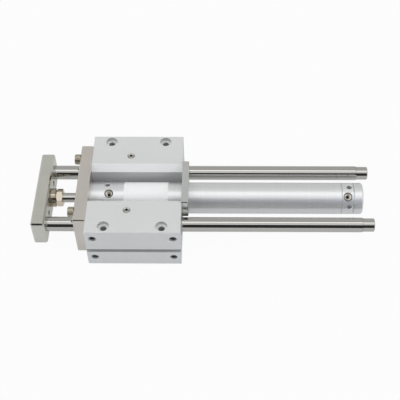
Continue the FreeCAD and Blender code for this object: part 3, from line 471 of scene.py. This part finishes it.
def make_finishes(colours):
    """Every finish by its material slot in the record, or by its node where one has its own."""
    rear_port, front_port = MOUNTS["rear_port"], MOUNTS["front_port"]
    return {
        "anodised_aluminium": anodised_extrusion(colours.anodised),
        "tube_aluminium": turned_aluminium("turned_tube", rear_port, colours, scribed=(-4.6, 5.0)),
        "rod_cover": turned_aluminium("turned_cover", front_port, colours),
        "nickel_steel": ground_nickel("ground_nickel_flange", colours.flange, 0.25),
        "front_plate": ground_nickel("ground_nickel_plate", colours.plate, 0.22),
        "rear_plate": ground_nickel("ground_nickel_rear", colours.rear_plate, 0.09),
        "hard_chrome": ground_chrome(colours.chrome, ROD_HIGH.x - colours.taper),
        "plated_fastener": bright_nickel("bright_nickel", colours.fastener, 0.12),
        "grease_nipples": bright_nickel("nipple_nickel", colours.nipple, 0.2),
        # The needles' grey is partly painted shade of their sockets.
        "cushion_needles": bright_nickel("needle_nickel", colours.needle, 0.25),
        # The check balls' dark colour is painted shade of the nipples' holes.
        "check_balls": bright_nickel("ball_steel", colours.ball, 0.25),
        # The nut's colour, lighter than the other bright nickel, is painted light on its facets.
        "rod_end_nut": bright_nickel("nut_nickel", colours.nut, 0.17),
        # The tapped threads' dark grey is painted shade of the side holes.
        "tapped": plain_finish("tapped_aluminium", colours.tapped, 0.9, 0.4, 0.4),
        "bronze": plain_finish("bearing_bronze", colours.bronze, 1.0, 0.35, 0.6),
        "seal_rubber": plain_finish("seal_rubber", colours.rubber, 0.0, 0.6, 0.5),
        "felt": plain_finish("oiled_felt", colours.felt, 0.0, 0.9, 0.3),
        "cast_iron_bearing": plain_finish("cast_iron", colours.iron, 1.0, 0.5, 0.4),
        "ring_polymer": plain_finish("ring_polymer", colours.polymer, 0.0, 0.45, 0.8),
        "label_film": label_film(colours.label),
    }


def finish(name):
    """A finish that was made before."""
    return bpy.data.materials[name]


def deselect_all():
    """Deselect every object, so that the next operator acts on its own piece."""
    bpy.ops.object.select_all(action="DESELECT")


def apply_place():
    """Put the selected piece's place, turn and scale into its mesh."""
    bpy.ops.object.transform_apply(location=True, rotation=True, scale=True)


def settle(piece, name, body, material):
    """Name a piece, put its place into its mesh, dress it and let it ride on its body."""
    deselect_all()
    piece.select_set(True)
    bpy.context.view_layer.objects.active = piece
    apply_place()
    piece.name = name
    piece.data.name = name
    piece.data.materials.clear()
    piece.data.materials.append(material)
    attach(piece, body)


def select_vertices(piece, wanted):
    """Select the vertices of a piece in edit mode for which a test holds."""
    mesh = bmesh.from_edit_mesh(piece.data)
    for vertex in mesh.verts:
        vertex.select = bool(wanted(vertex))
    mesh.select_flush_mode()
    bmesh.update_edit_mesh(piece.data)


def face_outwards():
    """Turn all faces of the piece in edit mode outwards, and leave edit mode."""
    bpy.ops.mesh.select_all(action="SELECT")
    bpy.ops.mesh.normals_make_consistent(inside=False)
    bpy.ops.object.mode_set(mode="OBJECT")


def smooth_under(degrees):
    """Smooth the selected piece over all edges that bend less than an angle."""
    bpy.ops.object.shade_smooth_by_angle(angle=math.radians(degrees))


def apply_modifier(piece, kind, **settings):
    """Add a modifier with its settings to the active piece, and apply it."""
    made = piece.modifiers.new(kind.lower(), kind)
    for name, value in settings.items():
        setattr(made, name, value)
    bpy.ops.object.modifier_apply(modifier=made.name)


def make_label(sizes, material):
    """The blank label: an edge laid on the tube's near flank and spun over its top."""
    half = sizes.arc / 2
    start = (sizes.middle, -TUBE_RADIUS * math.sin(half), AXIS_Z + TUBE_RADIUS * math.cos(half))
    deselect_all()
    bpy.ops.mesh.primitive_plane_add(size=sizes.along, location=start)
    label = bpy.context.object
    bpy.ops.object.mode_set(mode="EDIT")
    bpy.ops.mesh.select_all(action="SELECT")
    bpy.ops.transform.resize(value=(1, 0, 1))
    bpy.ops.mesh.remove_doubles(threshold=sizes.film)
    bpy.ops.mesh.subdivide(number_cuts=9)
    bpy.ops.mesh.select_all(action="SELECT")
    bpy.ops.mesh.spin(steps=40, angle=sizes.arc, center=(sizes.middle, 0, AXIS_Z), axis=(1, 0, 0))
    select_vertices(label, lambda vertex: len(vertex.link_edges) == 2)
    bpy.ops.mesh.bevel(affect="VERTICES", offset=sizes.corner, segments=5)
    face_outwards()
    apply_modifier(label, "SOLIDIFY", thickness=sizes.film, offset=1.0)
    smooth_under(40)
    settle(label, "blank_label", "housing", material)


def looking(out):
    """The turn that brings +Z to a direction."""
    return Vector((0, 0, 1)).rotation_difference(Vector(out)).to_matrix().to_4x4()


def make_thread(sizes, radius, depth):
    """A thread's helical ridge in a hole that opens at the origin towards +Z."""
    root_width, crest_share, run_out = 0.85, 0.25, 0.7
    turns = max(2, int(depth / sizes.pitch) - 1)
    crest = Vector((radius - sizes.height / 2 + HAIR, 0, -(turns + run_out) * sizes.pitch))
    deselect_all()
    bpy.ops.mesh.primitive_plane_add(size=sizes.pitch, location=crest, rotation=(math.pi / 2, 0, 0))
    ridge = bpy.context.object
    apply_place()
    bpy.ops.object.mode_set(mode="EDIT")
    bpy.ops.mesh.select_all(action="SELECT")
    bpy.ops.transform.resize(value=(sizes.height / sizes.pitch, 1, root_width), center_override=crest)
    select_vertices(ridge, lambda vertex: vertex.co.x < crest.x)
    bpy.ops.transform.resize(value=(1, 1, crest_share), center_override=crest)
    bpy.ops.mesh.select_all(action="SELECT")
    bpy.ops.mesh.delete(type="ONLY_FACE")
    bpy.ops.object.mode_set(mode="OBJECT")
    apply_modifier(
        ridge, "SCREW", axis="Z", screw_offset=sizes.pitch, iterations=turns, steps=sizes.steps,
        render_steps=sizes.steps,
    )
    bpy.ops.object.mode_set(mode="EDIT")
    bpy.ops.mesh.select_all(action="SELECT")
    bpy.ops.mesh.remove_doubles(threshold=WELD)
    bpy.ops.mesh.fill_holes(sides=4)
    face_outwards()
    smooth_under(30)
    return ridge


def copied(piece, place):
    """A copy of a piece with its own mesh, put at a place."""
    twin = piece.copy()
    twin.data = piece.data.copy()
    bpy.context.scene.collection.objects.link(twin)
    twin.matrix_world = place
    return twin


def mount_holes(name):
    """The middles of a bolt pattern's holes in the record, and the way that they open."""
    mount = MOUNTS[name]
    out = Vector(mount["axis"])
    row = Vector((1, 0, 0)) if abs(out.x) < 0.5 else Vector((0, 1, 0))
    across = out.cross(row)
    step_row = mount["dims"]["spacing_x_mm"] * MM / 2
    step_across = mount["dims"].get("spacing_y_mm", 0) * MM / 2
    signs = (-1, 1) if step_across else (0,)
    middle = Vector(mount["pos_m"])
    return [middle + row * a * step_row + across * b * step_across for a in (-1, 1) for b in signs], out


def solids_of(name):
    """The points of each separate solid of a node."""
    mesh = bmesh.new()
    mesh.from_mesh(frame["nodes"][name].data)
    bmesh.ops.remove_doubles(mesh, verts=mesh.verts, dist=WELD)
    left = set(mesh.verts)
    solids = []
    while left:
        reached = [left.pop()]
        for vertex in reached:
            beside = {edge.other_vert(vertex) for edge in vertex.link_edges} & left
            left -= beside
            reached.extend(beside)
        solids.append([vertex.co.copy() for vertex in reached])
    mesh.free()
    return solids


def middle_of(points):
    """The centre of the points' box."""
    return Vector((min(axis) + max(axis)) / 2 for axis in zip(*points))


def make_knurl(sizes, points, name, material):
    """A knurled sleeve on a cap screw's head that lies along X: every second corner is drawn out."""
    middle = middle_of(points)
    outward = [(math.hypot(point.y - middle.y, point.z - middle.z), point.x) for point in points]
    radius = max(outward)[0]
    rim = [x for away, x in outward if away > radius - HAIR]
    low, high = min(rim) + sizes.margin, max(rim) - sizes.margin
    centre = Vector(((low + high) / 2, middle.y, middle.z))
    deselect_all()
    bpy.ops.mesh.primitive_cylinder_add(
        vertices=2 * sizes.ridges, radius=radius - HAIR, depth=high - low, end_fill_type="NOTHING",
        location=centre, rotation=(0, math.pi / 2, 0),
    )
    sleeve = bpy.context.object
    apply_place()
    step = math.pi / sizes.ridges
    bpy.ops.object.mode_set(mode="EDIT")
    select_vertices(
        sleeve, lambda vertex: round(math.atan2(vertex.co.y - centre.y, vertex.co.z - centre.z) / step) % 2
    )
    drawn = 1 + sizes.height / radius
    bpy.ops.transform.resize(value=(1, drawn, drawn), center_override=centre)
    bpy.ops.object.mode_set(mode="OBJECT")
    apply_modifier(sleeve, "SOLIDIFY", thickness=sizes.wall, offset=-1.0)
    settle(sleeve, name, "housing", material)


def make_check_ball(sizes, points, name, material):
    """The spring-loaded ball that closes a grease nipple, flat where its spring bears."""
    middle = middle_of(points)
    rim = max(point.z for point in points)
    centre = Vector((middle.x, middle.y, rim - sizes.sunk))
    deselect_all()
    bpy.ops.mesh.primitive_uv_sphere_add(segments=24, ring_count=16, radius=sizes.radius, location=centre)
    ball = bpy.context.object
    apply_place()
    bpy.ops.object.mode_set(mode="EDIT")
    bpy.ops.mesh.select_all(action="SELECT")
    bpy.ops.mesh.bisect(
        plane_co=centre - Vector((0, 0, sizes.seat)), plane_no=(0, 0, 1), use_fill=True, clear_inner=True
    )
    face_outwards()
    smooth_under(40)
    settle(ball, name, "housing", material)


def make_floor(sizes):
    """The pale floor: white to the camera, paper to the light, and half white where metal mirrors it."""
    deselect_all()
    bpy.ops.mesh.primitive_plane_add(size=40, location=(0, 0, -HAIR))
    floor = bpy.context.object
    floor.name = "paper_floor"
    material = bpy.data.materials.new("paper_floor")
    material.use_nodes = True
    tree = material.node_tree
    tree.nodes.clear()
    path = add(tree, "ShaderNodeLightPath").outputs
    seen = add(
        tree, "ShaderNodeMath", {0: path["Is Camera Ray"], 1: sizes.seen_white}, operation="MULTIPLY"
    ).outputs[0]
    whiteness = add(
        tree, "ShaderNodeMath", {0: path["Is Glossy Ray"], 1: sizes.mirrored_white, 2: seen},
        operation="MULTIPLY_ADD",
    ).outputs[0]
    paper = add(tree, "ShaderNodeBsdfDiffuse", {"Color": sizes.paper}).outputs["BSDF"]
    white = add(tree, "ShaderNodeEmission", {"Color": (1, 1, 1, 1), "Strength": 1.0}).outputs["Emission"]
    mixed = add(tree, "ShaderNodeMixShader", {0: whiteness, 1: paper, 2: white})
    add(tree, "ShaderNodeOutputMaterial", {"Surface": mixed.outputs["Shader"]})
    floor.data.materials.append(material)


# Grey of the room by the angle in degrees, from straight up towards the front (+) or the back (-).
ROOM_AT_MIDDLE = (
    (-180, "#717171"), (-60, "#747473"), (-38, "#7A7A79"), (-6, "#6E6E6D"), (-4, "#BBBBBA"),
    (11, "#BBBBBA"), (13, "#848483"), (22, "#848483"), (25, "#939392"), (40, "#939392"),
    (42, "#1C1C1D"), (89, "#1C1C1D"), (93, "#898988"), (180, "#8C8C8B"),
)
ROOM_AT_ENDS = (
    (-180, "#7A7A7A"), (-30, "#7A7A7A"), (0, "#A0A0A0"), (28, "#A6A8AB"), (34, "#ABAEB5"),
    (58, "#ABAEB5"), (62, "#A6A9AF"), (88, "#A6A9AF"), (92, "#6E7073"), (180, "#6E7073"),
)
ROOM_BLEND = {"From Min": 0.32, "From Max": 0.42}  # how far along X the middle of the room gives way


def make_studio(sizes):
    """Light from all round: a bright strip overhead, a dark band in front, and pale even ends."""
    world = bpy.data.worlds.new("studio")
    bpy.context.scene.world = world
    world.use_nodes = True
    tree = world.node_tree
    tree.nodes.clear()
    way = add(tree, "ShaderNodeTexCoord").outputs["Generated"]
    axes = add(tree, "ShaderNodeSeparateXYZ", {"Vector": way}).outputs
    front = add(tree, "ShaderNodeMath", {0: axes["Y"], 1: -1.0}, operation="MULTIPLY").outputs[0]
    lean = add(tree, "ShaderNodeMath", {0: front, 1: axes["Z"]}, operation="ARCTAN2").outputs[0]
    turn = add(
        tree, "ShaderNodeMapRange",
        {"Value": lean, "From Min": -math.pi, "From Max": math.pi, "To Min": 0.0, "To Max": 1.0},
    ).outputs["Result"]
    middle, ends = (
        add(
            tree, "ShaderNodeValToRGB", {"Fac": turn},
            [((degrees + 180) / 360, linear(shade)) for degrees, shade in room],
        ).outputs["Color"]
        for room in (ROOM_AT_MIDDLE, ROOM_AT_ENDS)
    )
    sideways = folded(tree, way)["X"]
    endwards = add(
        tree, "ShaderNodeMapRange", {"Value": sideways, **ROOM_BLEND}, interpolation_type="SMOOTHSTEP"
    ).outputs["Result"]
    room = add(tree, "ShaderNodeMix", {0: endwards, 6: middle, 7: ends}, data_type="RGBA").outputs[2]
    lit = add(tree, "ShaderNodeBackground", {"Color": room, "Strength": sizes.light})
    white = add(tree, "ShaderNodeBackground", {"Color": (1, 1, 1, 1), "Strength": sizes.backdrop})
    path = add(tree, "ShaderNodeLightPath").outputs
    mixed = add(
        tree, "ShaderNodeMixShader",
        {0: path["Is Camera Ray"], 1: lit.outputs["Background"], 2: white.outputs["Background"]},
    )
    add(tree, "ShaderNodeOutputWorld", {"Surface": mixed.outputs["Shader"]})


def make_camera(sizes):
    """The camera: looks down across the tube, a little turned and tilted."""
    forward = Vector((
        math.sin(sizes.yaw) * math.cos(sizes.pitch),
        math.cos(sizes.yaw) * math.cos(sizes.pitch),
        -math.sin(sizes.pitch),
    ))
    level = Vector((math.cos(sizes.yaw), -math.sin(sizes.yaw), 0))
    upright = level.cross(forward)
    right = level * math.cos(sizes.roll) + upright * math.sin(sizes.roll)
    up = upright * math.cos(sizes.roll) - level * math.sin(sizes.roll)
    turn = Matrix((right, up, -forward)).transposed()
    bpy.ops.object.camera_add()
    camera = bpy.context.object
    camera.matrix_world = Matrix.Translation(Vector(sizes.place)) @ turn.to_4x4()
    camera.data.lens = sizes.lens
    camera.data.sensor_width = 36
    camera.data.clip_start = 0.01
    bpy.context.scene.camera = camera
    bpy.context.scene.view_settings.view_transform = "Standard"


class CYLINDER_OT_finishes(bpy.types.Operator):
    """Make the finishes and dress every part of the packed model"""

    bl_idname = "cylinder.finishes"
    bl_label = "Finishes"

    def execute(self, context):
        finishes = make_finishes(context.scene.cylinder_finishes)
        for part in frame["record"]["subparts"]:
            name = part["node"]
            node = frame["nodes"][name]
            chosen = finishes.get(name) or finishes[part["material_slot"]]
            node.data.materials.clear()
            node.data.materials.append(chosen)
        return {"FINISHED"}


class CYLINDER_OT_label(bpy.types.Operator):
    """Lay the blank label on the tube"""

    bl_idname = "cylinder.label"
    bl_label = "Blank label"

    def execute(self, context):
        make_label(context.scene.cylinder_label, finish("label_film"))
        return {"FINISHED"}


class CYLINDER_OT_threads(bpy.types.Operator):
    """Cut the threads of the ports, the side holes and the load holes"""

    bl_idname = "cylinder.threads"
    bl_label = "Threads"

    def execute(self, context):
        sizes = context.scene.cylinder_threads
        for name, material in (("front_port", "turned_cover"), ("rear_port", "turned_tube")):
            mount = MOUNTS[name]
            out = Vector(mount["axis"])
            depth = mount["dims"]["length_mm"] * MM
            mouth = Vector(mount["pos_m"]) + out * depth / 2
            ridge = make_thread(sizes, mount["dims"]["r_mm"] * MM, depth)
            ridge.matrix_world = Matrix.Translation(mouth) @ looking(out)
            settle(ridge, name + "_thread", "housing", finish(material))
        side = (sizes.side_mouth, "housing", "anodised_aluminium", "tapped_aluminium")
        load = (sizes.load_mouth, "carriage", "nickel_steel", "ground_nickel_plate")
        groups = (("side_holes_left", *side), ("side_holes_right", *side), ("load_holes", *load))
        for name, to_mouth, body, slot, material in groups:
            places, out = mount_holes(name)
            ridge = make_thread(sizes, MOUNTS[name]["dims"]["hole_r_mm"] * MM, sizes.depth)
            for number, place in enumerate(places):
                mouth = place + out * to_mouth
                twin = copied(ridge, Matrix.Translation(mouth) @ looking(out))
                settle(twin, f"{name}_thread_{number + 1}", body, finish(material))
            bpy.data.objects.remove(ridge)
        return {"FINISHED"}


class CYLINDER_OT_knurls(bpy.types.Operator):
    """Knurl the heads of the two bolts on the flange"""

    bl_idname = "cylinder.knurls"
    bl_label = "Knurled heads"

    def execute(self, context):
        sizes = context.scene.cylinder_knurls
        for number, points in enumerate(solids_of("flange_bolts")):
            make_knurl(sizes, points, f"flange_bolt_knurl_{number + 1}", finish("bright_nickel"))
        return {"FINISHED"}


class CYLINDER_OT_check_balls(bpy.types.Operator):
    """Put the check ball into each grease nipple"""

    bl_idname = "cylinder.check_balls"
    bl_label = "Check balls"

    def execute(self, context):
        sizes = context.scene.cylinder_balls
        for number, points in enumerate(solids_of("grease_nipples")):
            make_check_ball(sizes, points, f"grease_nipple_ball_{number + 1}", finish("ball_steel"))
        return {"FINISHED"}


class CYLINDER_OT_stage(bpy.types.Operator):
    """Set the pale floor, the studio light and the camera"""

    bl_idname = "cylinder.stage"
    bl_label = "Stage"

    def execute(self, context):
        sizes = context.scene.cylinder_stage
        make_floor(sizes)
        make_studio(sizes)
        make_camera(sizes)
        return {"FINISHED"}


STEPS = (
    CYLINDER_OT_finishes, CYLINDER_OT_label, CYLINDER_OT_threads, CYLINDER_OT_knurls,
    CYLINDER_OT_check_balls, CYLINDER_OT_stage,
)
SETTINGS = {
    "cylinder_finishes": FinishSettings,
    "cylinder_label": LabelSettings,
    "cylinder_threads": ThreadSettings,
    "cylinder_knurls": KnurlSettings,
    "cylinder_balls": BallSettings,
    "cylinder_stage": StageSettings,
}


class CYLINDER_PT_panel(bpy.types.Panel):
    """Lists the steps and their settings."""

    bl_label = "Guided cylinder"
    bl_idname = "CYLINDER_PT_panel"
    bl_space_type = "VIEW_3D"
    bl_region_type = "UI"
    bl_category = "Cylinder"

    def draw(self, context):
        for step in STEPS:
            self.layout.operator(step.bl_idname)
        for name, group in SETTINGS.items():
            box = self.layout.box()
            box.label(text=group.__doc__)
            for entry in group.__annotations__:
                box.prop(getattr(context.scene, name), entry)


CLASSES = (*SETTINGS.values(), *STEPS, CYLINDER_PT_panel)


def register():
    """Register the classes, and give every scene their settings."""
    for entry in CLASSES:
        bpy.utils.register_class(entry)
    for name, group in SETTINGS.items():
        setattr(bpy.types.Scene, name, bpy.props.PointerProperty(type=group))


def unregister():
    """Take the settings and the classes away again."""
    for name in SETTINGS:
        delattr(bpy.types.Scene, name)
    for entry in reversed(CLASSES):
        bpy.utils.unregister_class(entry)


def main():
    """Register the classes, and run every step in order."""
    register()
    for step in STEPS:
        family, name = step.bl_idname.split(".")
        getattr(getattr(bpy.ops, family), name)()


if __name__ == "__main__":
    main()
